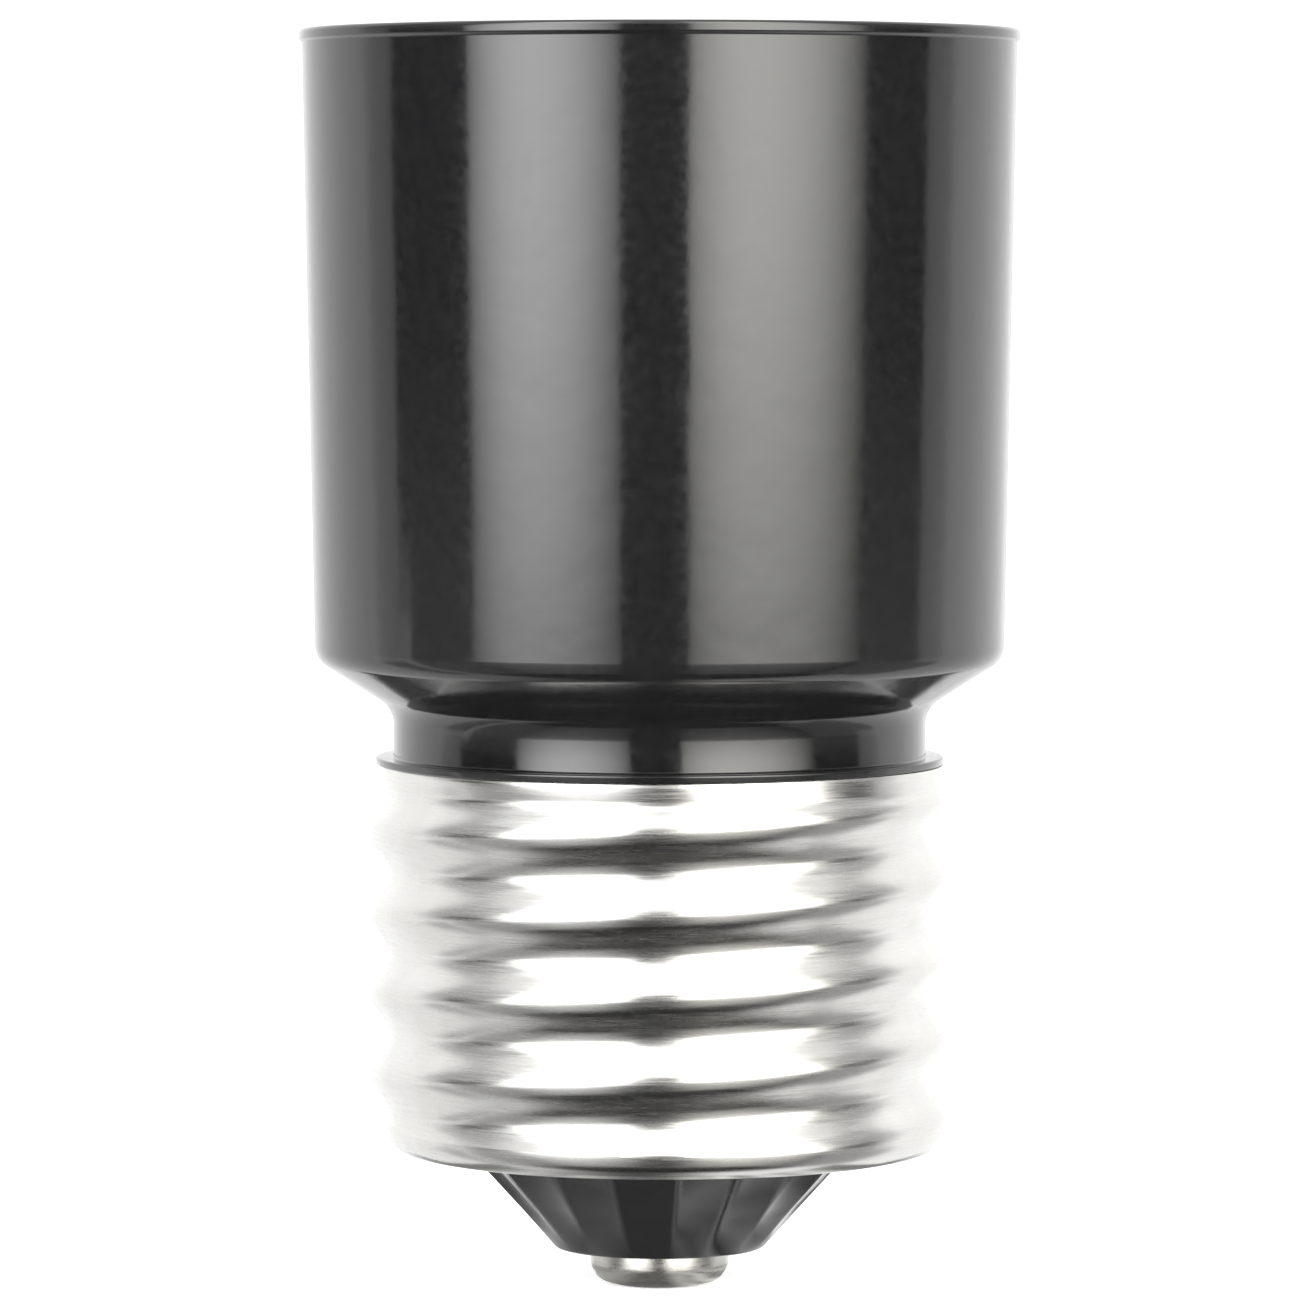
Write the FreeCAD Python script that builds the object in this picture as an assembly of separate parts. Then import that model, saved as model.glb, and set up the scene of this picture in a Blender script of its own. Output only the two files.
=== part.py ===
"""Lamp socket adapter: a black moulded body with a screw socket above and a plated screw base below.

Everything is in millimetres. The axis of the lamp is Z, the base points down, and the lowest
point, the tip of the bottom contact, is at height 0. Heights are stacked from there upwards.
The right-hand lamp thread has seven turns to the inch. Its front is -Y.
"""

import FreeCAD, Part
import math
import os

# The lamp thread, the same on the base and in the socket
thread_pitch = 25.4 / 7
thread_crest_radius = 13.08
thread_root_radius = 12.25
mating_clearance = 0.12
base_crest_height = 15.0
facets_per_turn = 7
hidden_facets_per_turn = 4

# Bottom contact, a rivet through the nose with its tail spread in the spring well
button_height = 1.65
button_radius = 3.1
button_tip_radius = 2.65
button_edge_height = 0.55
button_rounding = 0.28
rivet_shank_radius = 1.5
rivet_length = 15.4
rivet_tail_radius = 2.9
rivet_tail_height = 0.8
rivet_clearance = 0.05

# Nose of the moulding, below the screw base, fluted all round
nose_height = 4.25
nose_foot_radius = 4.7
nose_top_radius = 8.65
flute_count = 18
flute_depth_share = 0.038
flute_start_angle = 5.0

# Screw base, rolled from thin plated sheet
base_sheet = 0.3
base_hole_radius = 9.0
base_lip_width = 0.45
base_lip_drop = 0.08
base_curl_rise = 0.3
base_corner_rounding = 0.7
base_foot_radius = 12.5
base_foot_height = 0.75
base_height = 17.3
base_rim_radius = 12.62
base_low_fade = 0.8
base_high_fade = 1.3
core_clearance = 0.25
core_chamfer = 0.8
seat_gap = 0.05

# Moulded body, from the ring above the screw base to the mouth
ring_radius = 12.8
ring_height = 0.35
ring_undercut = 0.06
neck_radius = 11.98
neck_height = 2.17
neck_rounding = 1.4
shoulder_rise = 2.25
shoulder_rounding = 1.1
body_foot_radius = 15.5
body_mouth_radius = 16.02
body_height = 28.18
lip_step = 0.13
lip_height = 0.6
rim_rounding = 0.3
floor_rise = 1.7
cavity_floor_radius = 13.95
cavity_mouth_radius = 14.15

# Spring well and sprung centre contact
well_radius = 3.3
slide_clearance = 0.1
plunger_flange_height = 0.9
plunger_stem_radius = 2.2
plunger_travel = 2.0
plunger_proud = 0.1
plunger_dome_rise = 0.7
plunger_spigot_radius = 1.7
plunger_spigot_height = 1.2
plunger_stop_gap = 0.05
spring_mean_radius = 2.4
spring_wire_radius = 0.28
spring_turns = 6
spring_sides = 6
spring_seat_gap = 0.03

# Insulating disc on the cup's floor
disc_thickness = 1.0
disc_radius = 13.2

# Socket shell, rolled from thin sheet, held down on the disc
socket_sheet = 0.35
socket_flange_radius = 7.6
socket_wall_height = 4.6
socket_corner_rounding = 0.5
socket_heel = 0.35
socket_thread_height = 14.6
socket_low_fade = 2.4
socket_high_fade = 2.0
socket_collar_radius = 13.4
socket_collar_height = 3.0
socket_rim_flare = 0.25
socket_crest_turn = 0.5

# Two screws that hold the shell and the disc down
screw_circle_radius = 9.55
screw_shank_radius = 0.95
screw_head_radius = 1.75
screw_head_height = 1.1
screw_head_rounding = 0.35
screw_slot_width = 0.45
screw_slot_depth = 0.5
screw_grip = 3.2
screw_clearance = 0.06

# Side conductor, a strip from under the shell's flange down to the screw base
strip_thickness = 0.4
strip_width = 3.0
strip_inner_edge = 7.9
strip_screw_gap = 0.3
strip_foot_gap = 0.15
strip_jog_height = 1.2
strip_foot_length = 4.0
strip_clearance = 0.12

# Working values: how far cutters run past what they cut, and the share of an edge that a rounding
# may take, with or without another rounding at its far end
cut_overrun = 1.0
rounding_share = 0.48
lone_rounding_share = 0.96

AXIS = FreeCAD.Vector(0, 0, 1)
ORIGIN = FreeCAD.Vector(0, 0, 0)

# Heights stacked from the tip of the bottom contact
nose_foot = button_height
base_hole_height = nose_foot + nose_height
base_corner_height = base_hole_height + base_curl_rise
base_thread_low = base_corner_height + base_foot_height
base_rim_height = base_corner_height + base_height
ring_top = base_rim_height + ring_height
neck_top = ring_top + neck_height
shoulder_top = neck_top + shoulder_rise
mouth_height = shoulder_top + body_height
floor_height = shoulder_top + floor_rise
well_floor = nose_foot + rivet_length
rivet_top = well_floor + rivet_tail_height
disc_top = floor_height + disc_thickness
flange_top = disc_top + socket_sheet
socket_thread_low = disc_top + socket_wall_height
socket_thread_high = socket_thread_low + socket_thread_height
socket_rim_height = socket_thread_high + socket_collar_height
plunger_flange_top = floor_height - plunger_stop_gap
plunger_flange_low = plunger_flange_top - plunger_flange_height
plunger_top = disc_top + plunger_travel + plunger_proud

# Radii that follow from the thread and the sheet
thread_mean_radius = (thread_crest_radius + thread_root_radius) / 2
thread_offset = (thread_crest_radius - thread_root_radius) / 2
core_radius = thread_root_radius - base_sheet - core_clearance
core_foot_radius = base_foot_radius - base_sheet - core_clearance
socket_mean_radius = thread_mean_radius + mating_clearance
socket_wall_radius = thread_root_radius + mating_clearance
lip_radius = body_mouth_radius + lip_step
plunger_flange_radius = well_radius - slide_clearance
strip_drop_radius = screw_circle_radius + screw_shank_radius + strip_screw_gap + strip_thickness
strip_foot_radius = thread_root_radius - base_sheet - strip_foot_gap


def outline(corners):
    """Closed wire in the XZ plane through corners of (radius, height) or (radius, height, rounding)."""
    points = [FreeCAD.Vector(corner[0], 0, corner[1]) for corner in corners]
    roundings = [corner[2] if len(corner) > 2 else 0 for corner in corners]
    count = len(points)
    arcs = []
    for index in range(count):
        point = points[index]
        back = points[index - 1] - point
        ahead = points[(index + 1) % count] - point
        share_back = rounding_share if roundings[index - 1] else lone_rounding_share
        share_ahead = rounding_share if roundings[(index + 1) % count] else lone_rounding_share
        room = min(share_back * back.Length, share_ahead * ahead.Length)
        back.normalize()
        ahead.normalize()
        half = back.getAngle(ahead) / 2
        trim = min(roundings[index] / math.tan(half), room)
        if trim <= 0:
            arcs.append((point, point, None))
            continue
        rounding = trim * math.tan(half)
        middle_way = back + ahead
        middle_way.normalize()
        centre = point + middle_way * (rounding / math.sin(half))
        arcs.append((point + back * trim, point + ahead * trim, centre - middle_way * rounding))
    edges = []
    for index in range(count):
        start, end, middle = arcs[index]
        if middle is not None:
            edges.append(Part.Arc(start, middle, end).toShape())
        following = arcs[(index + 1) % count][0]
        edges.append(Part.LineSegment(end, following).toShape())
    return Part.Wire(edges)


def turned(corners):
    """Solid of revolution about the lamp's axis."""
    return Part.Face(outline(corners)).revolve(ORIGIN, AXIS, 360)


def cylinder(radius, low, high, x=0.0, y=0.0):
    return Part.makeCylinder(radius, high - low, FreeCAD.Vector(x, y, low), AXIS)


def block(x_low, x_high, y_low, y_high, z_low, z_high):
    corner = FreeCAD.Vector(x_low, y_low, z_low)
    return Part.makeBox(x_high - x_low, y_high - y_low, z_high - z_low, corner)


def eased(share):
    """Rises smoothly from 0 to 1 as share does."""
    share = min(max(share, 0.0), 1.0)
    return share * share * (3 - 2 * share)


def threaded_column(shrink, ends, fades, radii, crest_height, facets):
    """Solid column with a rolled right-hand thread.

    Seen along the axis, each level of such a thread is a round disc, set off centre, and its centre
    goes once round the axis in one pitch. The column is lofted through those discs. Towards each
    end the discs come back on centre, so that the thread runs out into a plain round wall.
    """
    low, high = ends
    mean = radii[1] - shrink
    count = max(2, round((high - low) / thread_pitch * facets))
    levels = []
    for step in range(count + 1):
        height = low + (high - low) * step / count
        hold = eased((height - low) / fades[0]) * eased((high - height) / fades[1])
        plain = (radii[0] if height - low < high - height else radii[2]) - shrink
        turn = 2 * math.pi * (height - crest_height) / thread_pitch
        reach = thread_offset * hold
        centre = FreeCAD.Vector(reach * math.cos(turn), reach * math.sin(turn), height)
        radius = plain + (mean - plain) * hold
        levels.append(Part.Wire(Part.makeCircle(radius, centre, AXIS)))
    return Part.makeLoft(levels, True, True)


def rolled_sheet(sheet, ends, fades, radii, crest_height, facets):
    """Thin threaded tube: the outer column less the same column a sheet's thickness smaller."""
    outside = threaded_column(0, ends, fades, radii, crest_height, facets[0])
    inside = threaded_column(sheet, ends, fades, radii, crest_height, facets[1])
    return outside.cut(inside)


def make_nose():
    """Fluted cone of the moulding: tapered flutes that all run to the cone's own apex."""
    slope = (nose_top_radius - nose_foot_radius) / nose_height
    apex = nose_foot - nose_foot_radius / slope
    cone = turned([
        (0, nose_foot),
        (nose_foot_radius, nose_foot),
        (nose_top_radius, base_hole_height),
        (0, base_hole_height),
    ])
    half_pitch = math.pi / flute_count
    chord = slope * math.sin(half_pitch)
    sagitta = slope * math.cos(half_pitch) - slope + flute_depth_share
    groove = (chord * chord + sagitta * sagitta) / (2 * sagitta)
    centre_reach = slope - flute_depth_share + groove
    cutters = []
    for index in range(flute_count):
        angle = math.radians(flute_start_angle) + 2 * half_pitch * index
        rings = []
        for height in (nose_foot - cut_overrun / 2, base_hole_height + cut_overrun / 2):
            scale = height - apex
            reach = centre_reach * scale
            centre = FreeCAD.Vector(reach * math.cos(angle), reach * math.sin(angle), height)
            rings.append(Part.Wire(Part.makeCircle(groove * scale, centre, AXIS)))
        cutters.append(Part.makeLoft(rings, True, True))
    return cone.cut(cutters)


def core_bottom(radius):
    """Height of the core's underside, which follows the inside of the base's curled bottom."""
    slope = base_curl_rise / (base_foot_radius - base_hole_radius)
    thickness = base_sheet * math.sqrt(1 + slope * slope)
    return base_hole_height + slope * (radius - base_hole_radius) + thickness + seat_gap


def make_housing():
    """One moulding: cup, shoulder, neck, the core inside the screw base and the nose."""
    body = turned([
        (0, base_hole_height),
        (nose_top_radius, base_hole_height),
        (nose_top_radius, core_bottom(nose_top_radius)),
        (core_foot_radius - core_chamfer, core_bottom(core_foot_radius - core_chamfer)),
        (core_foot_radius, base_thread_low),
        (core_radius, base_thread_low + base_low_fade),
        (core_radius, base_rim_height),
        (ring_radius - ring_undercut, base_rim_height),
        (ring_radius, ring_top),
        (neck_radius, ring_top),
        (neck_radius, neck_top, neck_rounding),
        (body_foot_radius, shoulder_top, shoulder_rounding),
        (body_mouth_radius, mouth_height - lip_height),
        (lip_radius, mouth_height - lip_height + lip_step),
        (lip_radius, mouth_height, rim_rounding),
        (cavity_mouth_radius, mouth_height, rim_rounding),
        (cavity_floor_radius, floor_height),
        (0, floor_height),
    ])
    body = body.fuse(make_nose())
    cuts = [
        cylinder(rivet_shank_radius + rivet_clearance, nose_foot - cut_overrun, well_floor + cut_overrun),
        cylinder(well_radius, well_floor, floor_height + cut_overrun),
    ]
    for side in (-1, 1):
        low = floor_height - screw_grip - screw_clearance
        cuts.append(screw_hole(low, floor_height + cut_overrun, side))
    half = strip_width / 2 + strip_clearance
    inner = strip_drop_radius - strip_thickness - strip_clearance
    outer = strip_drop_radius + strip_clearance
    low = strip_bottom() - strip_clearance
    cuts.append(block(-half, half, inner, outer, low, floor_height + cut_overrun))
    cuts.append(block(-half, half, inner, ring_radius, low, strip_jog_top() + strip_clearance))
    return body.cut(cuts).removeSplitter()


def screw_hole(low, high, side):
    radius = screw_shank_radius + screw_clearance
    return cylinder(radius, low, high, 0, side * screw_circle_radius)


def strip_jog_top():
    """Height at which the side conductor starts to lean out towards the screw base."""
    return base_rim_height - strip_clearance - seat_gap


def strip_bottom():
    return strip_jog_top() - strip_jog_height - strip_foot_length


def make_side_conductor():
    """Bent brass strip: a tab under the flange, a drop through the floor, and a foot at the base."""
    top = disc_top
    inner_drop = strip_drop_radius - strip_thickness
    inner_foot = strip_foot_radius - strip_thickness
    jog_top = strip_jog_top()
    jog_low = jog_top - strip_jog_height
    side = [
        (strip_inner_edge, top - strip_thickness),
        (inner_drop, top - strip_thickness),
        (inner_drop, jog_top),
        (inner_foot, jog_low),
        (inner_foot, strip_bottom()),
        (strip_foot_radius, strip_bottom()),
        (strip_foot_radius, jog_low),
        (strip_drop_radius, jog_top),
        (strip_drop_radius, top),
        (strip_inner_edge, top),
    ]
    points = [FreeCAD.Vector(-strip_width / 2, y, z) for y, z in side]
    face = Part.Face(Part.makePolygon(points + points[:1]))
    strip = face.extrude(FreeCAD.Vector(strip_width, 0, 0))
    return strip.cut(screw_hole(floor_height, flange_top, 1))


def make_tip_contact():
    """Plated rivet: button, long shank, and a tail spread in the spring well."""
    return turned([
        (0, 0),
        (button_tip_radius, 0, button_rounding),
        (button_radius, button_edge_height, button_rounding),
        (button_radius, nose_foot),
        (rivet_shank_radius, nose_foot),
        (rivet_shank_radius, well_floor),
        (rivet_tail_radius, well_floor),
        (rivet_tail_radius, rivet_top),
        (0, rivet_top),
    ])


def make_contact_plunger():
    """Turned brass contact: spigot inside the spring, flange under the disc, domed stem above it."""
    return turned([
        (0, plunger_flange_low - plunger_spigot_height),
        (plunger_spigot_radius, plunger_flange_low - plunger_spigot_height),
        (plunger_spigot_radius, plunger_flange_low),
        (plunger_flange_radius, plunger_flange_low),
        (plunger_flange_radius, plunger_flange_top),
        (plunger_stem_radius, plunger_flange_top),
        (plunger_stem_radius, plunger_top - plunger_dome_rise, plunger_dome_rise),
        (plunger_stem_radius / 2, plunger_top, plunger_stem_radius),
        (0, plunger_top),
    ])


def make_contact_spring():
    """Compression spring between the rivet's tail and the plunger's flange, of wire with small flats."""
    low = rivet_top + spring_wire_radius + spring_seat_gap
    high = plunger_flange_low - spring_wire_radius - spring_seat_gap
    height = high - low
    path = Part.Wire(Part.makeHelix(height / spring_turns, height, spring_mean_radius))
    path.translate(FreeCAD.Vector(0, 0, low))
    corners = []
    for side in range(spring_sides + 1):
        angle = 2 * math.pi * side / spring_sides
        radius = spring_mean_radius + spring_wire_radius * math.cos(angle)
        corners.append(FreeCAD.Vector(radius, 0, low + spring_wire_radius * math.sin(angle)))
    return path.makePipeShell([Part.makePolygon(corners)], True, True)


def make_insulator_disc():
    """Fibre disc on the cup's floor: holds the plunger down and keeps the shell off it."""
    disc = cylinder(disc_radius, floor_height, disc_top)
    below = floor_height - cut_overrun
    above = disc_top + cut_overrun
    cuts = [cylinder(plunger_stem_radius + slide_clearance, below, above)]
    for side in (-1, 1):
        cuts.append(screw_hole(below, above, side))
    half = strip_width / 2 + strip_clearance
    tab_floor = disc_top - strip_thickness
    inner = strip_drop_radius - strip_thickness - strip_clearance
    outer = strip_drop_radius + strip_clearance
    cuts.append(block(-half, half, strip_inner_edge - strip_clearance, outer, tab_floor, above))
    cuts.append(block(-half, half, inner, outer, below, above))
    return disc.cut(cuts)


def make_base_shell():
    """Screw base: rolled thread, open rim at the top and a bottom curled in to a small rolled lip."""
    ends = (base_thread_low, base_rim_height)
    fades = (base_low_fade, base_high_fade)
    radii = (base_foot_radius, thread_mean_radius, base_rim_radius)
    facets = (facets_per_turn, hidden_facets_per_turn)
    band = rolled_sheet(base_sheet, ends, fades, radii, base_crest_height, facets)
    slope = base_curl_rise / (base_foot_radius - base_hole_radius)
    thickness = base_sheet * math.sqrt(1 + slope * slope)
    inner_foot = base_foot_radius - base_sheet
    inner_corner = base_corner_height - slope * base_sheet + thickness
    lip_edge = base_hole_radius + base_lip_width
    lip_top = base_hole_height + slope * base_lip_width
    bottom = turned([
        (base_foot_radius, base_thread_low),
        (base_foot_radius, base_corner_height, base_corner_rounding),
        (lip_edge, lip_top),
        (lip_edge, lip_top - base_lip_drop),
        (base_hole_radius, lip_top - base_lip_drop),
        (base_hole_radius, base_hole_height + thickness),
        (inner_foot, inner_corner),
        (inner_foot, base_thread_low),
    ])
    return band.fuse(bottom).removeSplitter()


def make_socket_shell():
    """Screw socket: flange on the disc, plain foot, rolled thread and a plain collar at the mouth."""
    inside = socket_wall_radius
    ends = (socket_thread_low, socket_thread_high)
    fades = (socket_low_fade, socket_high_fade)
    inner_radii = (inside, socket_mean_radius, socket_collar_radius)
    radii = [radius + socket_sheet for radius in inner_radii]
    crest = socket_thread_low + socket_crest_turn * thread_pitch
    facets = (hidden_facets_per_turn, facets_per_turn)
    band = rolled_sheet(socket_sheet, ends, fades, radii, crest, facets)
    foot = turned([
        (inside + socket_sheet, socket_thread_low),
        (inside + socket_sheet, disc_top + socket_heel),
        (inside + socket_sheet - socket_heel, disc_top),
        (socket_flange_radius, disc_top),
        (socket_flange_radius, flange_top),
        (inside, flange_top, socket_corner_rounding),
        (inside, socket_thread_low),
    ])
    collar = turned([
        (socket_collar_radius, socket_thread_high),
        (socket_collar_radius + socket_sheet, socket_thread_high),
        (socket_collar_radius + socket_sheet, socket_rim_height - socket_rim_flare),
        (socket_collar_radius + socket_sheet + socket_rim_flare, socket_rim_height),
        (socket_collar_radius + socket_rim_flare, socket_rim_height),
        (socket_collar_radius, socket_rim_height - socket_rim_flare),
    ])
    shell = band.fuse([foot, collar])
    holes = []
    for side in (-1, 1):
        holes.append(screw_hole(floor_height, flange_top + cut_overrun, side))
    return shell.cut(holes).removeSplitter()


def make_shell_screws():
    """Two slotted cheese-head screws, one node."""
    screws = []
    for side in (-1, 1):
        y = side * screw_circle_radius
        screw = turned([
            (0, floor_height - screw_grip),
            (screw_shank_radius, floor_height - screw_grip),
            (screw_shank_radius, flange_top),
            (screw_head_radius, flange_top),
            (screw_head_radius, flange_top + screw_head_height, screw_head_rounding),
            (0, flange_top + screw_head_height),
        ])
        slot_floor = flange_top + screw_head_height - screw_slot_depth
        slot_top = slot_floor + cut_overrun
        reach = screw_head_radius
        half = screw_slot_width / 2
        screw = screw.cut(block(-reach, reach, -half, half, slot_floor, slot_top))
        screw.translate(FreeCAD.Vector(0, y, 0))
        screws.append(screw)
    return Part.makeCompound(screws)


pieces = {
    "housing": make_housing,
    "base_shell": make_base_shell,
    "tip_contact": make_tip_contact,
    "contact_spring": make_contact_spring,
    "contact_plunger": make_contact_plunger,
    "insulator_disc": make_insulator_disc,
    "socket_shell": make_socket_shell,
    "shell_screws": make_shell_screws,
    "side_conductor": make_side_conductor,
}

os.makedirs("parts", exist_ok=True)
for name, make in pieces.items():
    shape = make()
    shape.exportStep("parts/" + name + ".step")
    print(name, "solids", len(shape.Solids), "volume", round(shape.Volume, 2), "valid", shape.isValid())
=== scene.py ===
# %% [markdown]
# # A lamp socket adapter, dressed for its portrait
# The adapter is a glossy black moulded cup with a screw socket inside it. Below the cup sits a
# rolled screw base of thin plated sheet, a fluted black nose, and a plated rivet as the bottom
# contact. The solid shapes come from a CAD model. This lesson puts a camera and soft studio light
# round them, makes the rolled threads and rounded edges finely, and gives each piece its finish.
#
# Every shape sits in one frame: the lamp's axis is Z, the tip of the bottom contact is the origin,
# and the front looks along -Y. Blender works in metres, while the workshop sizes here are in
# millimetres, so lengths are multiplied by `MM` where a mesh is made.

# %% Load the solid model
import math

import bpy
from mathutils import Matrix, Vector


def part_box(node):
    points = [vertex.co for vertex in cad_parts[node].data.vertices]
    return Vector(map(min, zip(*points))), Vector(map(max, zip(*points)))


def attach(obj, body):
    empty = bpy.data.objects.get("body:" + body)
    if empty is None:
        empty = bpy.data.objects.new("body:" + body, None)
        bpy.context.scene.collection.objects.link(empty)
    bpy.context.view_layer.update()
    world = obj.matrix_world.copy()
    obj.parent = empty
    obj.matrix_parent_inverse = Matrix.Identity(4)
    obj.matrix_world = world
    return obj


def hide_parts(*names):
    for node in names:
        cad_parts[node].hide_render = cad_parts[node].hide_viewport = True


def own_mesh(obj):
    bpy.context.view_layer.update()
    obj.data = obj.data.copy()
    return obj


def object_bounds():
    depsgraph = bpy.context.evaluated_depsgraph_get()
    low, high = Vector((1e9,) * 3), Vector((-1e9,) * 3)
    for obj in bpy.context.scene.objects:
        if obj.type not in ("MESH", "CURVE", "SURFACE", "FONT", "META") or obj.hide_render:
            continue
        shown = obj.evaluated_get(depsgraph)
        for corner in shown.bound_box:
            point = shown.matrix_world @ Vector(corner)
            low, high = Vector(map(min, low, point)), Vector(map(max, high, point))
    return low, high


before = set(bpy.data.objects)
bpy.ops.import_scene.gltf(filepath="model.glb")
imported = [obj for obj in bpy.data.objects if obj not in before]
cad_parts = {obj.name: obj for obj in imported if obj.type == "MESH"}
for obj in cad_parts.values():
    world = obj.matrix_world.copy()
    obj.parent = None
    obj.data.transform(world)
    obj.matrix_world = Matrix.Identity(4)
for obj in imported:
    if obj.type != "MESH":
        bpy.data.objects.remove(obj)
cad_low, cad_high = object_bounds()
MM = 0.001
print("pieces from the solid model:", sorted(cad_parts))
print("box in mm:", [round(value / MM, 2) for value in (*cad_low, *cad_high)])

# %% [markdown]
# ## One helper for every mesh
# Light panels, moulding, shells and spring are all made alike in Blender: a list of points, a list
# of faces that name their points by number, and a material. One small helper does that for every
# shape in this lesson, and turns millimetres into metres on the way.

# %% A helper for new objects
def new_object(name, points, faces, finish):
    """Object with one finish, from points in mm and the faces between them."""
    mesh = bpy.data.meshes.new(name)
    mesh.from_pydata([(x * MM, y * MM, z * MM) for x, y, z in points], [], faces)
    mesh.materials.append(finish)
    made = bpy.data.objects.new(name, mesh)
    bpy.context.scene.collection.objects.link(made)
    return made


# %% [markdown]
# ## The camera
# A product photographer stands well back from a small object and uses a long lens, so that the
# sides of the cup look parallel. The photograph shows the rim and the screw base curving only a
# little, which puts the camera about 34 cm away and level with the upper part of the cup. The
# camera looks at the middle of the picture with no lens shift, because a shift would follow the
# camera to every other view.

# %% Place the camera
camera_distance = 338.0
camera_height = 47.4
picture_middle = Vector((-0.43, 0, 28.60))
picture_height = 58.50
sensor_width = 36.0

camera = bpy.data.objects.new("camera", bpy.data.cameras.new("camera"))
bpy.context.scene.collection.objects.link(camera)
camera.location = Vector((0, -camera_distance, camera_height)) * MM
sight = picture_middle * MM - camera.location
camera.rotation_euler = sight.to_track_quat("-Z", "Y").to_euler()
camera.data.sensor_width = sensor_width
camera.data.lens = sensor_width * sight.length / (picture_height * MM)
bpy.context.scene.camera = camera
print("lens in mm:", round(camera.data.lens, 1))

# %% [markdown]
# ## The studio
# Glossy black plastic and bright plate have almost no colour of their own: what we see is the
# studio mirrored in them. Lamps could give the light, but bent glowing panels also give the
# mirrored shape. Each panel is bent round the lamp's axis, and an angle of 0 degrees is towards the
# camera, with plus to its right. A panel's glow is painted on its points, so that it can fade
# towards its edges, and one emission material per panel shows that paint as light.

# %% Helpers for bent panels
panel_steps = 32
panel_distance = 450.0


def glowing(name):
    """Material that only gives off light, as much of it as the mesh's own glow colours say."""
    material = bpy.data.materials.new(name)
    material.use_nodes = True
    nodes = material.node_tree.nodes
    nodes.remove(nodes["Principled BSDF"])
    painted = nodes.new("ShaderNodeAttribute")
    painted.attribute_name = "glow"
    emission = nodes.new("ShaderNodeEmission")
    emission.inputs["Strength"].default_value = 1.0
    material.node_tree.links.new(painted.outputs["Color"], emission.inputs["Color"])
    material.node_tree.links.new(emission.outputs[0], nodes["Material Output"].inputs["Surface"])
    return material


def glowing_grid(name, rows):
    """Stage piece that the camera itself can't see, over rows of (point in mm, glow colour)."""
    pairs = [pair for row in rows for pair in row]
    across = len(rows[0])
    faces = []
    for first in range(0, (len(rows) - 1) * across, across):
        for near in range(first, first + across - 1):
            faces.append((near, near + 1, near + across + 1, near + across))
    grid = new_object(name, [point for point, _ in pairs], faces, glowing(name))
    layer = grid.data.color_attributes.new("glow", "FLOAT_COLOR", "POINT")
    for spot, (_, colour) in zip(layer.data, pairs):
        spot.color = (*colour, 1)
    grid.visible_camera = False
    return grid


def bent_panel(
    name, angles, levels, glow, colour=(1, 1, 1), edges=(1, 1), brightest=0.5,
    distance=panel_distance,
):
    """Upright panel bent round the axis between two angles, through levels of (height, share).

    It glows most at a share of its width, and falls off to a share of that glow at each edge. Each
    level, a height in mm, has its own share of the glow too.
    """
    rows = []
    for step in range(panel_steps + 1):
        share = step / panel_steps
        angle = math.radians(angles[0] + (angles[1] - angles[0]) * share)
        edge = 0 if share < brightest else 1
        away = (share - brightest) / (edge - brightest)
        strength = glow * (1 - (1 - edges[edge]) * away * away)
        x, y = distance * math.sin(angle), -distance * math.cos(angle)
        rows.append([
            ((x, y, height), [strength * level_share * part for part in colour])
            for height, level_share in levels
        ])
    return glowing_grid(name, rows)


# %% [markdown]
# ### Lights and pale walls
# Two tall soft lights stand left and right of the camera and give the black body its two pale
# bands. They fade downwards, so that the bands grow darker towards the foot of the cup. Pale walls
# further round, left and right, light up both sides of the screw base.

# %% Soft lights and pale walls
soft_light_glow = 7.9
soft_light_levels = [
    (-550, 0.07), (-300, 0.1), (-100, 0.15), (-55, 0.24), (-27, 0.72), (-12, 0.8), (0, 0.95),
    (22, 1.08), (1000, 1.1),
]
lights = [
    bent_panel(
        "soft_light_left", (-62.8, -12.5), soft_light_levels, soft_light_glow,
        edges=(0.27, 0.24), brightest=0.45,
    ),
    bent_panel(
        "soft_light_right", (9.3, 69), soft_light_levels, soft_light_glow,
        colour=(1.0, 0.99, 0.95), edges=(0.45, 0.05), brightest=0.33,
    ),
]
for name, angles, levels, glow in (
    ("white_wall_right", (100, 165), [(-550, 0.8), (900, 1)], 1.8),
    ("white_wall_left", (-165, -98.5), [(-20, 0.95), (900, 1)], 1.55),
    ("white_wall_left_low", (-165, -89), [(-550, 0.8), (-20, 0.95)], 1.55),
):
    lights.append(bent_panel(name, angles, levels, glow))
print("lights and walls:", len(lights))

# %% [markdown]
# ### Screens
# Dark screens fill the gaps between the lights, so that the pale bands get crisp dark edges. The
# main ones stand a little further away than the lights, so a light hides the edge of the screen
# that it overlaps. Two low ones at the back shade what faces down. Where a pale wall meets a
# screen, a dimmer strip stands just before them and keeps the thread's dark lines from ending in a
# black spot. Screens are there for the mirror images alone: they neither light dull surfaces nor
# cast shadows.

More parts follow.
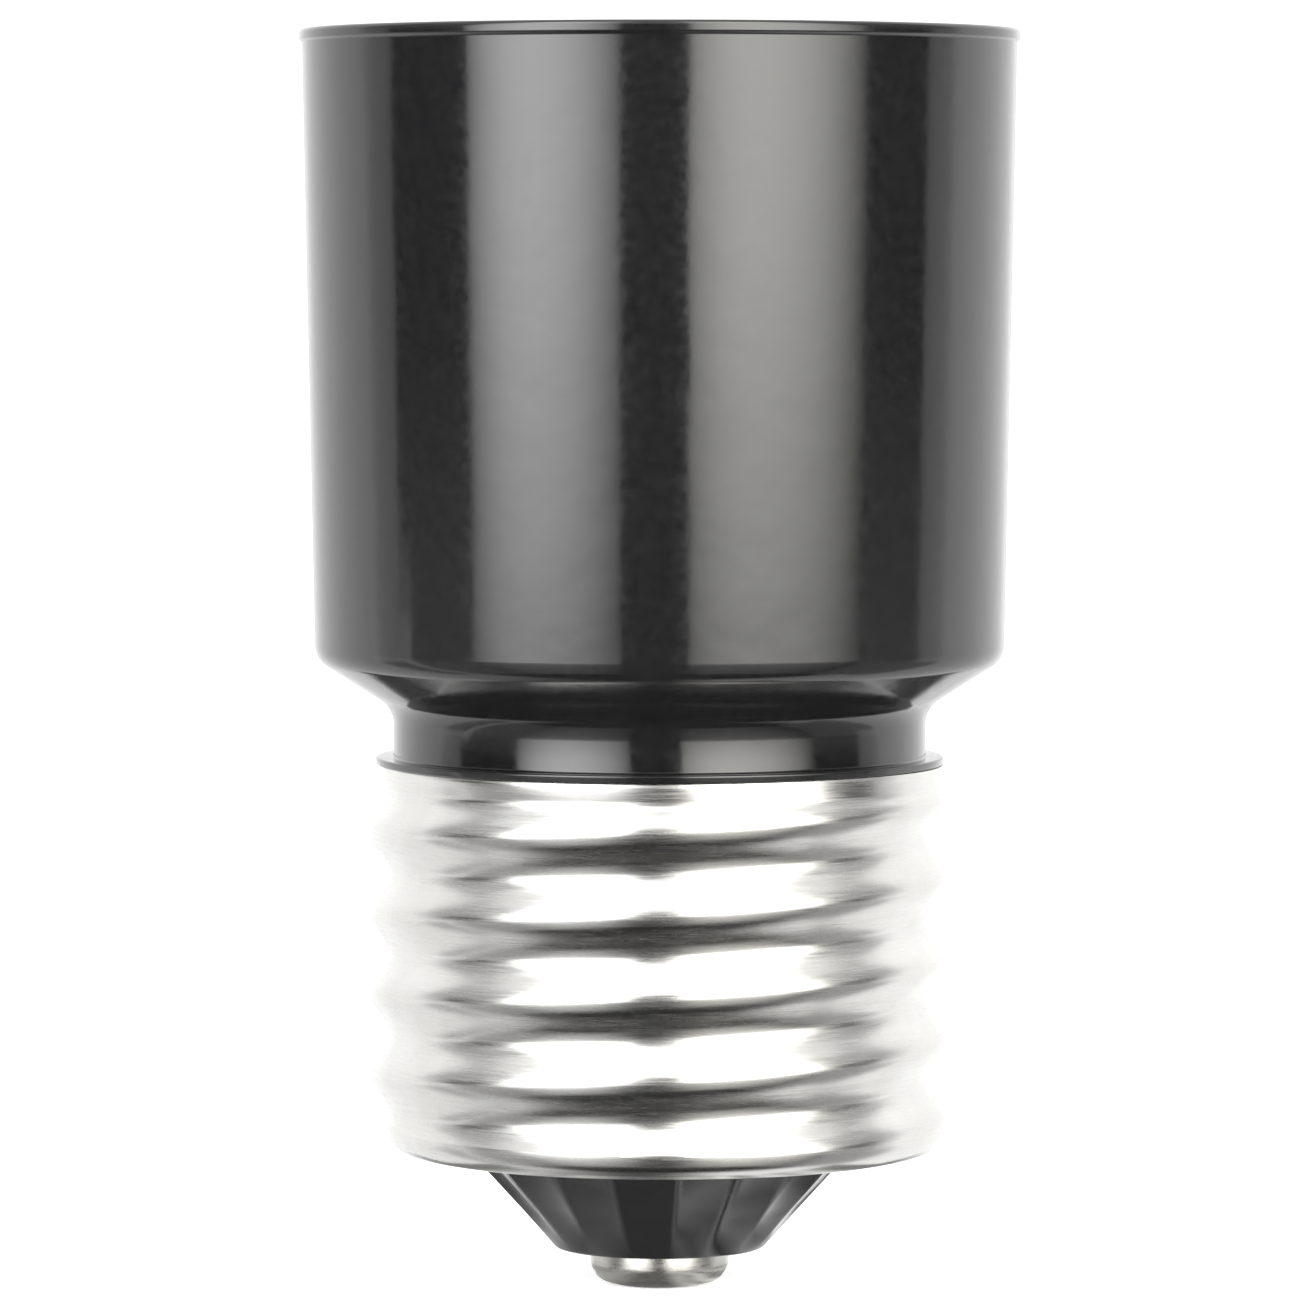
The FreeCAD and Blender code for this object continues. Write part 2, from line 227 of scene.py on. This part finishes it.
# %% Dark screens, and dimmer strips before the walls
screen_glow, screen_distance = 0.05, 455.0
back_screen_glow, back_screen_distance = 0.1, 440.0
dim_wall_glow, dim_wall_distance = 0.6, 445.0
high_levels = [(-20, 6), (5, 1), (62, 1), (110, 9), (420, 12)]
low_levels = [(-550, 10), (-100, 10), (-20, 6)]
back_levels = [(-450, 1), (-190, 1)]
dim_levels = [(-550, 1), (-150, 1), (-60, 2.2), (0, 1.7), (60, 1.5), (150, 1), (900, 1)]
screens = []
for name, angles, levels in (
    ("screen_middle", (-15, 10), [(-550, 1), (230, 1)]),
    ("screen_left", (-95, -61), high_levels),
    ("screen_left_low", (-89, -63), low_levels),
    ("screen_right", (65, 95), low_levels[:2] + high_levels),
):
    screens.append(bent_panel(name, angles, levels, screen_glow, distance=screen_distance))
for name, angles in (("screen_behind_right", (155, 180)), ("screen_behind_left", (-180, -155))):
    screens.append(
        bent_panel(name, angles, back_levels, back_screen_glow, distance=back_screen_distance)
    )
for name, angles, edges in (
    ("dim_wall_left", (-109, -94), (1.6, 0.8)),
    ("dim_wall_right", (94, 109), (0.8, 1.6)),
):
    screens.append(bent_panel(
        name, angles, dim_levels, dim_wall_glow, edges=edges, distance=dim_wall_distance,
    ))
print("screens:", len(screens))

# %% [markdown]
# ### What lies below
# The curled bottom of the screw base, the nose and the button look down, so they mirror what lies
# below them. A table far down, dark in the middle and pale towards both sides, gives the curl its
# shading. A small striped card just under the button gives the nose the streaks that separate its
# flutes. Like the screens, both are seen in mirror images only.

# %% Table below the lights and striped card below the nose
table_level, card_level = -555, -1.5
faint_glow = 0.03


def level_card(name, height, across, along):
    """Card that faces up at a height in mm, for pairs (x, glow) across and (y, share) along it.

    At a share of 0 only a faint glow is left.
    """
    return glowing_grid(name, [
        [((x, y, height), [faint_glow + (glow - faint_glow) * share] * 3) for x, glow in across]
        for y, share in along
    ])


table_glows = [
    (-460, 1.2), (-300, 1.0), (-200, 0.6), (-70, 0.08), (20, 0.08), (100, 1.5), (300, 1.5),
    (460, 1.3),
]
stripes = [
    (-14, 0.3), (-11, 0.3), (-8, 0.9), (-6, 0.5), (-4.5, 0.8), (-3, 0.5), (-2, 0.25), (0.6, 0.25),
    (1.8, 1.0), (2.6, 0.6), (3.6, 1.5), (4.6, 0.2), (6, 1.3), (7.5, 0.6), (9, 1.2), (11, 0.3),
    (14, 0.3),
]
screens.append(level_card(
    "dark_table", table_level, table_glows, [(-460, 0), (-100, 0), (0, 1), (300, 1)],
))
screens.append(level_card("nose_card", card_level, stripes, [(-8.5, 1), (12, 1)]))
for screen in screens:
    screen.visible_diffuse = False
    screen.visible_shadow = False
print("screens and cards:", len(screens))

# %% [markdown]
# ## Floor and backdrop
# The object was photographed against plain white. A white world gives an even backdrop, which also
# shows between the panels in the mirror images. The floor is a wide pale sheet just under the
# contact's tip. Seen from below it lets the eye through, so the underside can be looked at too, and
# it is kept out of the mirror images, where the panels go on below the floor's level.

# %% Make the floor and the white world
backdrop_glow, floor_glow = 1.3, 0.45
floor_reach, floor_level = 3000.0, -0.02

world = bpy.data.worlds.new("white_room")
bpy.context.scene.world = world
world.use_nodes = True
backdrop = world.node_tree.nodes["Background"]
backdrop.inputs["Color"].default_value = (1, 1, 1, 1)
backdrop.inputs["Strength"].default_value = backdrop_glow

floor_paint = bpy.data.materials.new("pale_floor")
floor_paint.use_nodes = True
tree = floor_paint.node_tree
paint = tree.nodes["Principled BSDF"]
paint.inputs["Base Color"].default_value = (0.97, 0.97, 0.97, 1)
paint.inputs["Roughness"].default_value = 0.9
paint.inputs["Specular IOR Level"].default_value = 0.0
paint.inputs["Emission Color"].default_value = (1, 1, 1, 1)
paint.inputs["Emission Strength"].default_value = floor_glow
clear = tree.nodes.new("ShaderNodeBsdfTransparent")
choice = tree.nodes.new("ShaderNodeMixShader")
side = tree.nodes.new("ShaderNodeNewGeometry")
tree.links.new(side.outputs["Backfacing"], choice.inputs[0])
tree.links.new(paint.outputs[0], choice.inputs[1])
tree.links.new(clear.outputs[0], choice.inputs[2])
tree.links.new(choice.outputs[0], tree.nodes["Material Output"].inputs["Surface"])

floor_corners = [(-1, -1), (1, -1), (1, 1), (-1, 1)]
floor = new_object(
    "floor", [(x * floor_reach, y * floor_reach, floor_level) for x, y in floor_corners],
    [(0, 1, 2, 3)], floor_paint,
)
floor.visible_glossy = False
bpy.context.scene.view_settings.view_transform = "Standard"
print("floor across in m:", 2 * floor_reach * MM)

# %% [markdown]
# ## Finishes: the common steps
# A finish is more than one colour. Real surfaces have marks left by the mould, the rolling dies or
# the lathe. Each finish below starts from a Principled shader and takes its marks from noise that
# is laid in the piece's own coordinates, so the marks stay on the piece when it moves. Stretching
# the noise along one direction turns it into drawn or turned lines.

# %% Helpers for finishes
noise_low, noise_high = 0.3, 0.7


def new_finish(name, metal, ior=1.5):
    """Principled material with its node tree and shader."""
    finish = bpy.data.materials.new(name)
    finish.use_nodes = True
    shader = finish.node_tree.nodes["Principled BSDF"]
    shader.inputs["Metallic"].default_value = metal
    shader.inputs["IOR"].default_value = ior
    print("finish:", name)
    return finish, finish.node_tree, shader


def marks(tree, marks_per_mm, detail=2.0, stretch=(1, 1, 1)):
    """Noise in the piece's own coordinates; a small stretch value draws the marks out that way."""
    place = tree.nodes.new("ShaderNodeTexCoord")
    scale = tree.nodes.new("ShaderNodeMapping")
    scale.inputs["Scale"].default_value = [marks_per_mm / MM * share for share in stretch]
    noise = tree.nodes.new("ShaderNodeTexNoise")
    noise.inputs["Scale"].default_value = 1.0
    noise.inputs["Detail"].default_value = detail
    tree.links.new(place.outputs["Object"], scale.inputs["Vector"])
    tree.links.new(scale.outputs["Vector"], noise.inputs["Vector"])
    return noise.outputs["Fac"]


def tinted(tree, shader, noise, dark, light):
    """Base colour that goes from dark to light with the noise."""
    ramp = tree.nodes.new("ShaderNodeValToRGB")
    ramp.color_ramp.elements[0].position = noise_low
    ramp.color_ramp.elements[0].color = (*dark, 1)
    ramp.color_ramp.elements[1].position = noise_high
    ramp.color_ramp.elements[1].color = (*light, 1)
    tree.links.new(noise, ramp.inputs["Fac"])
    tree.links.new(ramp.outputs["Color"], shader.inputs["Base Color"])


def roughened(tree, shader, noise, first, last):
    """Roughness that goes from the first to the last value with the noise."""
    ranged = tree.nodes.new("ShaderNodeMapRange")
    ranged.inputs["From Min"].default_value = noise_low
    ranged.inputs["From Max"].default_value = noise_high
    ranged.inputs["To Min"].default_value = first
    ranged.inputs["To Max"].default_value = last
    tree.links.new(noise, ranged.inputs["Value"])
    tree.links.new(ranged.outputs["Result"], shader.inputs["Roughness"])


def dented(tree, shader, heights):
    """Bump from pairs of (noise, depth in mm), laid one on another."""
    normal = None
    for noise, depth in heights:
        bump = tree.nodes.new("ShaderNodeBump")
        bump.inputs["Strength"].default_value = 1.0
        bump.inputs["Distance"].default_value = depth * MM
        tree.links.new(noise, bump.inputs["Height"])
        if normal is not None:
            tree.links.new(normal, bump.inputs["Normal"])
        normal = bump.outputs["Normal"]
    tree.links.new(normal, shader.inputs["Normal"])


# %% [markdown]
# ## The black moulding
# The body is pressed from a black thermosetting compound in a polished steel mould. It is glossy,
# but not like glass: the skin has a faint orange-peel waviness a millimetre or two across, and the
# filler in the compound shows as tiny dull specks. Both are small bumps; the colour hardly varies.

# %% Black moulding
black_moulding, tree, shader = new_finish("black_moulding", metal=0.0, ior=1.52)
filler = marks(tree, 2.2, 4.0)
waviness, specks = marks(tree, 0.35, 2.0), marks(tree, 6.0, 3.0)
tinted(tree, shader, filler, (0.0040, 0.0041, 0.0045), (0.0062, 0.0062, 0.0064))
roughened(tree, shader, filler, 0.085, 0.15)
dented(tree, shader, [(waviness, 0.012), (specks, 0.0006)])

# %% [markdown]
# ## Plated, brass, aluminium, steel and fibre finishes
# Metals tint what they mirror, so each one needs its true colour and the marks of how it was made.
# Rolled nickel plate has fine lines round the shell, the brass contact and the rivet are turned,
# drawn wire has lines along it, and vulcanised fibre is a dull mottled red-brown paper board.

# %% Nickel plate on the screw base
nickel_plate, tree, shader = new_finish("nickel_plate", metal=1.0)
rolled_lines = marks(tree, 1.0, 5.0, stretch=(0.5, 0.5, 14.0))
bloom = marks(tree, 0.35, 4.0)
tinted(tree, shader, bloom, (0.53, 0.525, 0.508), (0.59, 0.585, 0.57))
roughened(tree, shader, rolled_lines, 0.2, 0.3)
dented(tree, shader, [(bloom, 0.006), (rolled_lines, 0.0003)])

# %% Duller nickel plate on the rivet
rivet_plate, tree, shader = new_finish("rivet_plate", metal=1.0)
turned_marks = marks(tree, 1.5, 4.0, stretch=(1.0, 1.0, 5.0))
tinted(tree, shader, turned_marks, (0.36, 0.355, 0.33), (0.46, 0.45, 0.42))
roughened(tree, shader, turned_marks, 0.24, 0.34)
dented(tree, shader, [(turned_marks, 0.0015)])

# %% Brass of the sprung contact and the side conductor
brass, tree, shader = new_finish("brass", metal=1.0)
fine_grain = marks(tree, 1.2, 4.0, stretch=(6.0, 6.0, 6.0))
tarnish = marks(tree, 0.5, 5.0)
tinted(tree, shader, tarnish, (0.60, 0.40, 0.15), (0.86, 0.66, 0.31))
roughened(tree, shader, tarnish, 0.34, 0.2)
dented(tree, shader, [(fine_grain, 0.0012)])

# %% Bright aluminium of the socket shell
bright_aluminium, tree, shader = new_finish("bright_aluminium", metal=1.0)
spun_lines = marks(tree, 1.0, 5.0, stretch=(0.6, 0.6, 11.0))
clouding = marks(tree, 0.3, 3.0)
tinted(tree, shader, clouding, (0.56, 0.565, 0.57), (0.69, 0.695, 0.70))
roughened(tree, shader, spun_lines, 0.24, 0.36)
dented(tree, shader, [(clouding, 0.008), (spun_lines, 0.0012)])

# %% Drawn steel wire of the contact spring
spring_steel, tree, shader = new_finish("spring_steel", metal=1.0)
die_lines = marks(tree, 3.0, 4.0, stretch=(1, 1, 3))
tinted(tree, shader, die_lines, (0.40, 0.40, 0.41), (0.60, 0.60, 0.61))
roughened(tree, shader, die_lines, 0.28, 0.4)
dented(tree, shader, [(die_lines, 0.001)])

# %% Zinc plate on the two screws
zinc_screw, tree, shader = new_finish("zinc_screw", metal=1.0)
crystals = marks(tree, 2.4, 5.0)
tinted(tree, shader, crystals, (0.58, 0.60, 0.63), (0.76, 0.77, 0.78))
roughened(tree, shader, crystals, 0.26, 0.42)
dented(tree, shader, [(crystals, 0.002)])

# %% Red-brown fibre of the insulating disc
fibre, tree, shader = new_finish("fibre", metal=0.0)
paper, fuzz = marks(tree, 0.9, 6.0, stretch=(1.0, 1.0, 2.0)), marks(tree, 5.0, 3.0)
tinted(tree, shader, paper, (0.17, 0.045, 0.028), (0.34, 0.11, 0.065))
roughened(tree, shader, paper, 0.5, 0.72)
dented(tree, shader, [(paper, 0.01), (fuzz, 0.002)])

# %% [markdown]
# ## Turned forms, and how one helper makes them all
# Nearly every piece is round: a profile turned about the lamp's axis. Blender's Screw modifier can
# turn a profile, but the rolled threads need more. A rolled lamp thread has a simple secret: cut it
# level at any height and the cut is a plain circle, only set a little off centre, and the centre
# goes once round the axis for each turn of the thread. So one helper that skins a stack of rings,
# each with its own radius, height and shift, makes the plain turned forms and the threads alike.

# %% Helpers: rounded profiles and skins over rings
sharp_angle = math.radians(32)


def rounded_profile(corners, steps=6):
    """Points (radius, height) of a profile whose corners (radius, height, rounding) become arcs.

    A rounding may use nearly all of an edge, or nearly half where its other end is rounded too.
    """
    points = []
    edge_shares = [0.49 if len(corner) > 2 else 0.96 for corner in corners]
    for index, corner in enumerate(corners):
        here = Vector(corner[:2])
        if len(corner) < 3 or index in (0, len(corners) - 1):
            points.append(tuple(here))
            continue
        back = Vector(corners[index - 1][:2]) - here
        ahead = Vector(corners[index + 1][:2]) - here
        half = back.angle(ahead) / 2
        room = min(edge_shares[index - 1] * back.length, edge_shares[index + 1] * ahead.length)
        trim = min(corner[2] / math.tan(half), room)
        radius = trim * math.tan(half)
        towards_centre = (back.normalized() + ahead.normalized()).normalized()
        centre = here + towards_centre * radius / math.sin(half)
        first = here + back.normalized() * trim - centre
        last = here + ahead.normalized() * trim - centre
        sweep = first.angle_signed(last)
        for step in range(steps + 1):
            arm = first.copy()
            arm.rotate(Matrix.Rotation(-sweep * step / steps, 2))
            points.append(tuple(centre + arm))
    return points


def skin(name, rings, around, body, finish, closed=False):
    """Piece with a skin over rings of (radius, height) or (radius, height, shift x, shift y).

    All are in mm. A radius may also be a function of the angle, and one of 0 closes to a point.
    """
    points = []
    rows = []
    for ring in rings:
        radius, height = ring[:2]
        shift_x, shift_y = ring[2:] if len(ring) > 2 else (0, 0)
        if radius == 0:
            rows.append([len(points)] * around)
            points.append((shift_x, shift_y, height))
            continue
        rows.append(list(range(len(points), len(points) + around)))
        for step in range(around):
            angle = 2 * math.pi * step / around
            reach = radius(angle) if callable(radius) else radius
            x = shift_x + reach * math.cos(angle)
            y = shift_y + reach * math.sin(angle)
            points.append((x, y, height))
    if closed:
        rows.append(rows[0])
    faces = []
    for lower, upper in zip(rows, rows[1:]):
        for step in range(around):
            following = (step + 1) % around
            loop = [lower[step], lower[following], upper[following], upper[step]]
            corners = list(dict.fromkeys(loop))
            if len(corners) > 2:
                faces.append(corners)
    piece = new_object(name, points, faces, finish)
    piece.data.shade_smooth()
    piece.data.set_sharp_from_angle(angle=sharp_angle)
    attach(piece, body)
    print(name, "faces:", len(faces))
    return piece


# %% [markdown]
# ## The moulded body
# Cup, shoulder, neck, ring and nose are one moulding. Its profile is drawn from the foot of the
# nose up the outside, over the rim and down into the cup. Mould makers round every edge a little,
# and those small roundings are what catches the light, so each corner that shows carries one. The
# nose has 18 flutes: each is a hollow slice out of its cone, with a ridge on both sides, and all
# run out just above the foot.

# %% Sizes of the moulding, in mm
nose_foot, nose_top = 1.65, 5.90
nose_foot_radius, nose_top_radius = 4.7, 8.65
thread_low, rim_height = 6.95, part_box("base_shell")[1].z / MM
core_radius = 11.7
ring_radius, ring_top = 12.8, 23.85
neck_radius, neck_top = 11.98, 26.02
shoulder_radius, shoulder_top = 15.5, 28.27
lip_radius, mouth_height = 16.15, cad_high.z / MM
cup_floor = 29.97
well_radius, well_floor = 3.3, 17.05
body_sides = 288
print("mouth and base rim at:", round(mouth_height, 2), round(rim_height, 2))

# %% Flutes of the nose
flutes = 18
flute_start = math.radians(5)
flute_gap, flute_fade = 0.15, 1.8
flute_depth_share = 0.038
ridge_share, ridge_blend = 0.992, 0.006
nose_levels = 24
slope = (nose_top_radius - nose_foot_radius) / (nose_top - nose_foot)


def fluted(height, plain_radius):
    """Radius of the nose at a height, as a function of the angle round it.

    The hollows are worked out where the cone is as wide as its slope, and grow with the radius.
    """
    half_pitch = math.pi / flutes
    chord = slope * math.sin(half_pitch)
    sagitta = slope * math.cos(half_pitch) - slope + flute_depth_share
    groove = (chord * chord + sagitta * sagitta) / (2 * sagitta)
    centre = slope - flute_depth_share + groove
    depth = min(max((height - nose_foot - flute_gap) / flute_fade, 0), 1)

    def reach(angle):
        across = (angle - flute_start + half_pitch) % (2 * half_pitch) - half_pitch
        off_axis = centre * math.sin(across)
        hollow = centre * math.cos(across) - math.sqrt(groove ** 2 - off_axis ** 2)
        ridge = slope * ridge_share
        nearness = max(ridge_blend - abs(hollow - ridge), 0) / ridge_blend
        soft = min(hollow, ridge) - nearness * nearness * ridge_blend / 4
        return plain_radius * (1 - depth * (1 - soft / slope))
    return reach


print("slope of the nose:", round(slope, 3))

# %% Make the moulded body
nose_foot_corner = rounded_profile([
    (3.0, nose_foot),
    (nose_foot_radius, nose_foot, 0.3),
    (nose_top_radius, nose_top),
])[:-1]
nose_rings = [(0, nose_foot)] + nose_foot_corner
corner_radius, corner_height = nose_foot_corner[-1]
for step in range(1, nose_levels + 1):
    height = corner_height + (nose_top - corner_height) * step / nose_levels
    nose_rings.append((fluted(height, corner_radius + slope * (height - corner_height)), height))
body_path = rounded_profile([
    (nose_top_radius, nose_top),
    (nose_top_radius - 0.3, nose_top + 0.15),
    (nose_top_radius - 0.3, 6.22),
    (11.15, 6.47),
    (11.95, thread_low),
    (core_radius, thread_low + 0.8),
    (core_radius, rim_height),
    (12.74, rim_height, 0.06),
    (ring_radius, ring_top, 0.1),
    (neck_radius, ring_top, 0.1),
    (neck_radius, neck_top, 1.4),
    (shoulder_radius, shoulder_top, 1.1),
    (lip_radius - 0.13, mouth_height - 0.6, 0.1),
    (lip_radius, mouth_height - 0.47, 0.1),
    (lip_radius, mouth_height, 0.3),
    (14.15, mouth_height, 0.3),
    (13.95, cup_floor, 0.3),
    (well_radius, cup_floor, 0.1),
    (well_radius, well_floor, 0.1),
    (0, well_floor),
], 8)
moulded_body = skin(
    "moulded_body", nose_rings + body_path[1:], body_sides, "adapter",
    black_moulding,
)
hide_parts("housing")

# %% [markdown]
# ## The rolled screw base
# A thin brass cup is plated, slid over the moulding and rolled between dies, which press the thread
# into the sheet. Inside and outside therefore run side by side, one sheet apart. The thread fades
# out at the top and runs into the curled bottom round the nose, and the top rim is a clean rounded
# cut. The rings come from the same rule as the solid model's, only with many more of them.

# %% Sizes of the thread and the rings of a rolled wall
thread_pitch = 25.4 / 7
crest_radius, root_radius = 13.08, 12.25
mean_radius = (crest_radius + root_radius) / 2
thread_shift = (crest_radius - root_radius) / 2
levels_per_turn = 26
shell_sides = 192


def eased(share):
    """Rises smoothly from 0 to 1 as share does."""
    share = min(max(share, 0.0), 1.0)
    return share * share * (3 - 2 * share)


def thread_turn(height, crest_height):
    """Angle that the thread's off-centre circle has gone round the axis by at a height."""
    return 2 * math.pi * (height - crest_height) / thread_pitch


def rolled_wall(low, high, fades, radii, crest_height, last_turn=None, left_over=0.0):
    """Rings of a rolled right-hand thread; radii are the plain foot, the thread's mean and the rim.

    Above the height last_turn the centre stops going round, and a share of the shift is left over.
    """
    levels = round((high - low) / thread_pitch * levels_per_turn)
    rings = []
    for level in range(levels + 1):
        height = low + (high - low) * level / levels
        hold = eased((height - low) / fades[0])
        hold *= left_over + (1 - left_over) * eased((high - height) / fades[1])
        plain = radii[0] if height - low < high - height else radii[2]
        radius = plain + (radii[1] - plain) * hold
        turn = thread_turn(min(height, last_turn or high), crest_height)
        shift = thread_shift * hold
        rings.append((radius, height, shift * math.cos(turn), shift * math.sin(turn)))
    return rings


def sheet_inside(rings, sheet):
    """The same rings a sheet's thickness further in, from the top down."""
    return [(radius - sheet, *place) for radius, *place in reversed(rings)]


print("thread pitch and shift:", round(thread_pitch, 3), round(thread_shift, 3))

# %% Make the rolled base
base_sheet = 0.3
base_inside = mean_radius - base_sheet
foot_level, base_crest = 7.3, 15.0
foot_fade, rim_fade = 0.001, 1.4
rim_radius = 12.62
curl_inner, curl_outer, curl_low = 9.0, 9.45, 5.86
centred_radius = 10.0
base_wall = rolled_wall(
    foot_level, rim_height - 0.1, (foot_fade, rim_fade), (mean_radius, mean_radius, rim_radius),
    base_crest, last_turn=22.5, left_over=0.5,
)[1:]
base_bottom = rounded_profile([
    (base_inside, foot_level),
    (base_inside, 6.48, 0.75),
    (curl_inner, 6.20, 0.04),
    (curl_inner, curl_low, 0.06),
    (curl_outer, curl_low, 0.06),
    (curl_outer, 5.94, 0.03),
    (mean_radius, 6.20, 1.1),
    (mean_radius, foot_level),
], 10)
foot_turn = thread_turn(foot_level, base_crest)
foot_rings = []
for radius, height in base_bottom:
    shift = thread_shift * eased((radius - centred_radius) / (base_inside - centred_radius))
    foot_rings.append((radius, height, shift * math.cos(foot_turn), shift * math.sin(foot_turn)))
top_radius, _, *top_shift = base_wall[-1]
base_rim = [
    (top_radius - inward, rim_height - below, *top_shift)
    for inward, below in ((0.03, 0.03), (0.1, 0), (0.2, 0), (0.27, 0.03))
]
rolled_base = skin(
    "rolled_base",
    foot_rings + base_wall + base_rim + sheet_inside(base_wall, base_sheet),
    shell_sides, "adapter", nickel_plate, closed=True,
)
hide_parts("base_shell")

# %% [markdown]
# ## The socket inside the cup
# The socket shell is the same idea turned inside out: the lamp's cap screws into it, so its grooves
# are a little wider than the base's ridges. It stands on a flange, ends in a plain collar with a
# slightly flared rim, and sits on a fibre disc.

# %% Make the rolled socket
socket_sheet = 0.35
disc_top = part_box("insulator_disc")[1].z / MM
socket_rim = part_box("socket_shell")[1].z / MM
socket_low, socket_high = 35.57, 50.17
flange_inner, foot_inner, collar_inner = 7.6, 12.37, 13.4
foot_outer, collar_outer = foot_inner + socket_sheet, collar_inner + socket_sheet
lamp_clearance = 0.12
inner_wall = rolled_wall(
    socket_low, socket_high, (2.4, 2.0), (foot_inner, mean_radius + lamp_clearance, collar_inner),
    socket_low + 0.5 * thread_pitch,
)
outer_wall = [(radius + socket_sheet, *place) for radius, *place in inner_wall]
socket_foot = rounded_profile([
    (foot_inner, socket_low),
    (foot_inner, disc_top + socket_sheet, 0.5),
    (flange_inner, disc_top + socket_sheet, 0.1),
    (flange_inner, disc_top, 0.1),
    (foot_outer, disc_top, 0.75),
    (foot_outer, socket_low),
])
socket_collar = rounded_profile([
    (collar_outer, socket_high),
    (collar_outer, socket_rim - 0.25, 0.1),
    (14.0, socket_rim, 0.06),
    (13.65, socket_rim, 0.06),
    (collar_inner, socket_rim - 0.25, 0.1),
    (collar_inner, socket_high),
])
rolled_socket = skin(
    "rolled_socket",
    socket_foot[:-1] + outer_wall + socket_collar[1:-1] + list(reversed(inner_wall))[:-1],
    shell_sides, "adapter", bright_aluminium, closed=True,
)
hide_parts("socket_shell")

# %% [markdown]
# ## Rivet, sprung contact and spring
# The bottom contact is a plated rivet whose button has a flat tip and a softly rounded shoulder.
# Above it a compression spring pushes a turned brass contact up through the disc. The spring is a
# helix of round wire.

# %% Make the rivet
button_radius, button_top = 3.1, 1.65
shank_radius, tail_radius, tail_top = 1.5, 2.9, 17.85
rivet_sides = 128
rivet = skin("rivet", [(0, 0)] + rounded_profile([
    (1.3, 0.0),
    (2.05, 0.0, 0.3),
    (2.75, 0.2, 0.6),
    (button_radius, 0.8, 0.5),
    (button_radius, button_top, 0.08),
    (shank_radius, button_top),
    (shank_radius, well_floor),
    (tail_radius, well_floor),
    (tail_radius, tail_top, 0.35),
    (0, tail_top),
]), rivet_sides, "adapter", rivet_plate)
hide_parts("tip_contact")

# %% Make the sprung contact
spigot_radius, stem_radius, flange_radius = 1.7, 2.2, 3.2
flange_low, flange_high = 29.02, 29.92
spigot_foot, contact_top = 27.82, 33.07
contact_sides = 96
brass_contact = skin("brass_contact", rounded_profile([
    (0, spigot_foot),
    (spigot_radius, spigot_foot, 0.15),
    (spigot_radius, flange_low),
    (flange_radius, flange_low, 0.08),
    (flange_radius, flange_high, 0.08),
    (stem_radius, flange_high),
    (stem_radius, 32.37, 0.7),
    (1.1, contact_top, 2.2),
    (0, contact_top),
]), contact_sides, "centre_contact", brass)
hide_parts("contact_plunger")

# %% Make the coil spring
wire_radius, coil_radius = 0.28, 2.4
spring_low, spring_high = (corner.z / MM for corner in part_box("contact_spring"))
coil_turns, steps_per_turn, wire_sides = 6, 48, 14


def coil_points():
    """Points of the wire's rings, in mm, from one end of the helix to the other."""
    points = []
    steps = coil_turns * steps_per_turn
    for step in range(steps + 1):
        rise = step / steps
        height = spring_low + wire_radius + (spring_high - spring_low - 2 * wire_radius) * rise
        angle = 2 * math.pi * coil_turns * rise
        outward = Vector((math.cos(angle), math.sin(angle), 0))
        middle = outward * coil_radius + Vector((0, 0, height))
        for side in range(wire_sides):
            around = 2 * math.pi * side / wire_sides
            spoke = outward * math.cos(around) + Vector((0, 0, math.sin(around)))
            points.append(middle + spoke * wire_radius)
    return points


wire = coil_points()
last_ring = len(wire) - wire_sides
wire_faces = [tuple(reversed(range(wire_sides))), tuple(range(last_ring, len(wire)))]
for ring in range(0, last_ring, wire_sides):
    for side in range(wire_sides):
        near, far = ring + side, ring + (side + 1) % wire_sides
        wire_faces.append((near, far, far + wire_sides, near + wire_sides))
coil_spring = new_object("coil_spring", wire, wire_faces, spring_steel)
coil_spring.data.shade_smooth()
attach(coil_spring, "adapter")
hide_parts("contact_spring")
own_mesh(coil_spring)
print("coil_spring faces:", len(wire_faces))

# %% [markdown]
# ## Pieces that stay as they are
# The disc, the screws and the side conductor have the right shape already. They only need their
# finish and smooth shading over the round faces.

# %% Finish the pieces of the solid model
for node, finish in (
    ("insulator_disc", fibre), ("shell_screws", zinc_screw), ("side_conductor", brass),
):
    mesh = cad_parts[node].data
    mesh.materials.clear()
    mesh.materials.append(finish)
    mesh.shade_smooth()
    mesh.set_sharp_from_angle(angle=sharp_angle)
    print(node, "faces:", len(mesh.polygons))
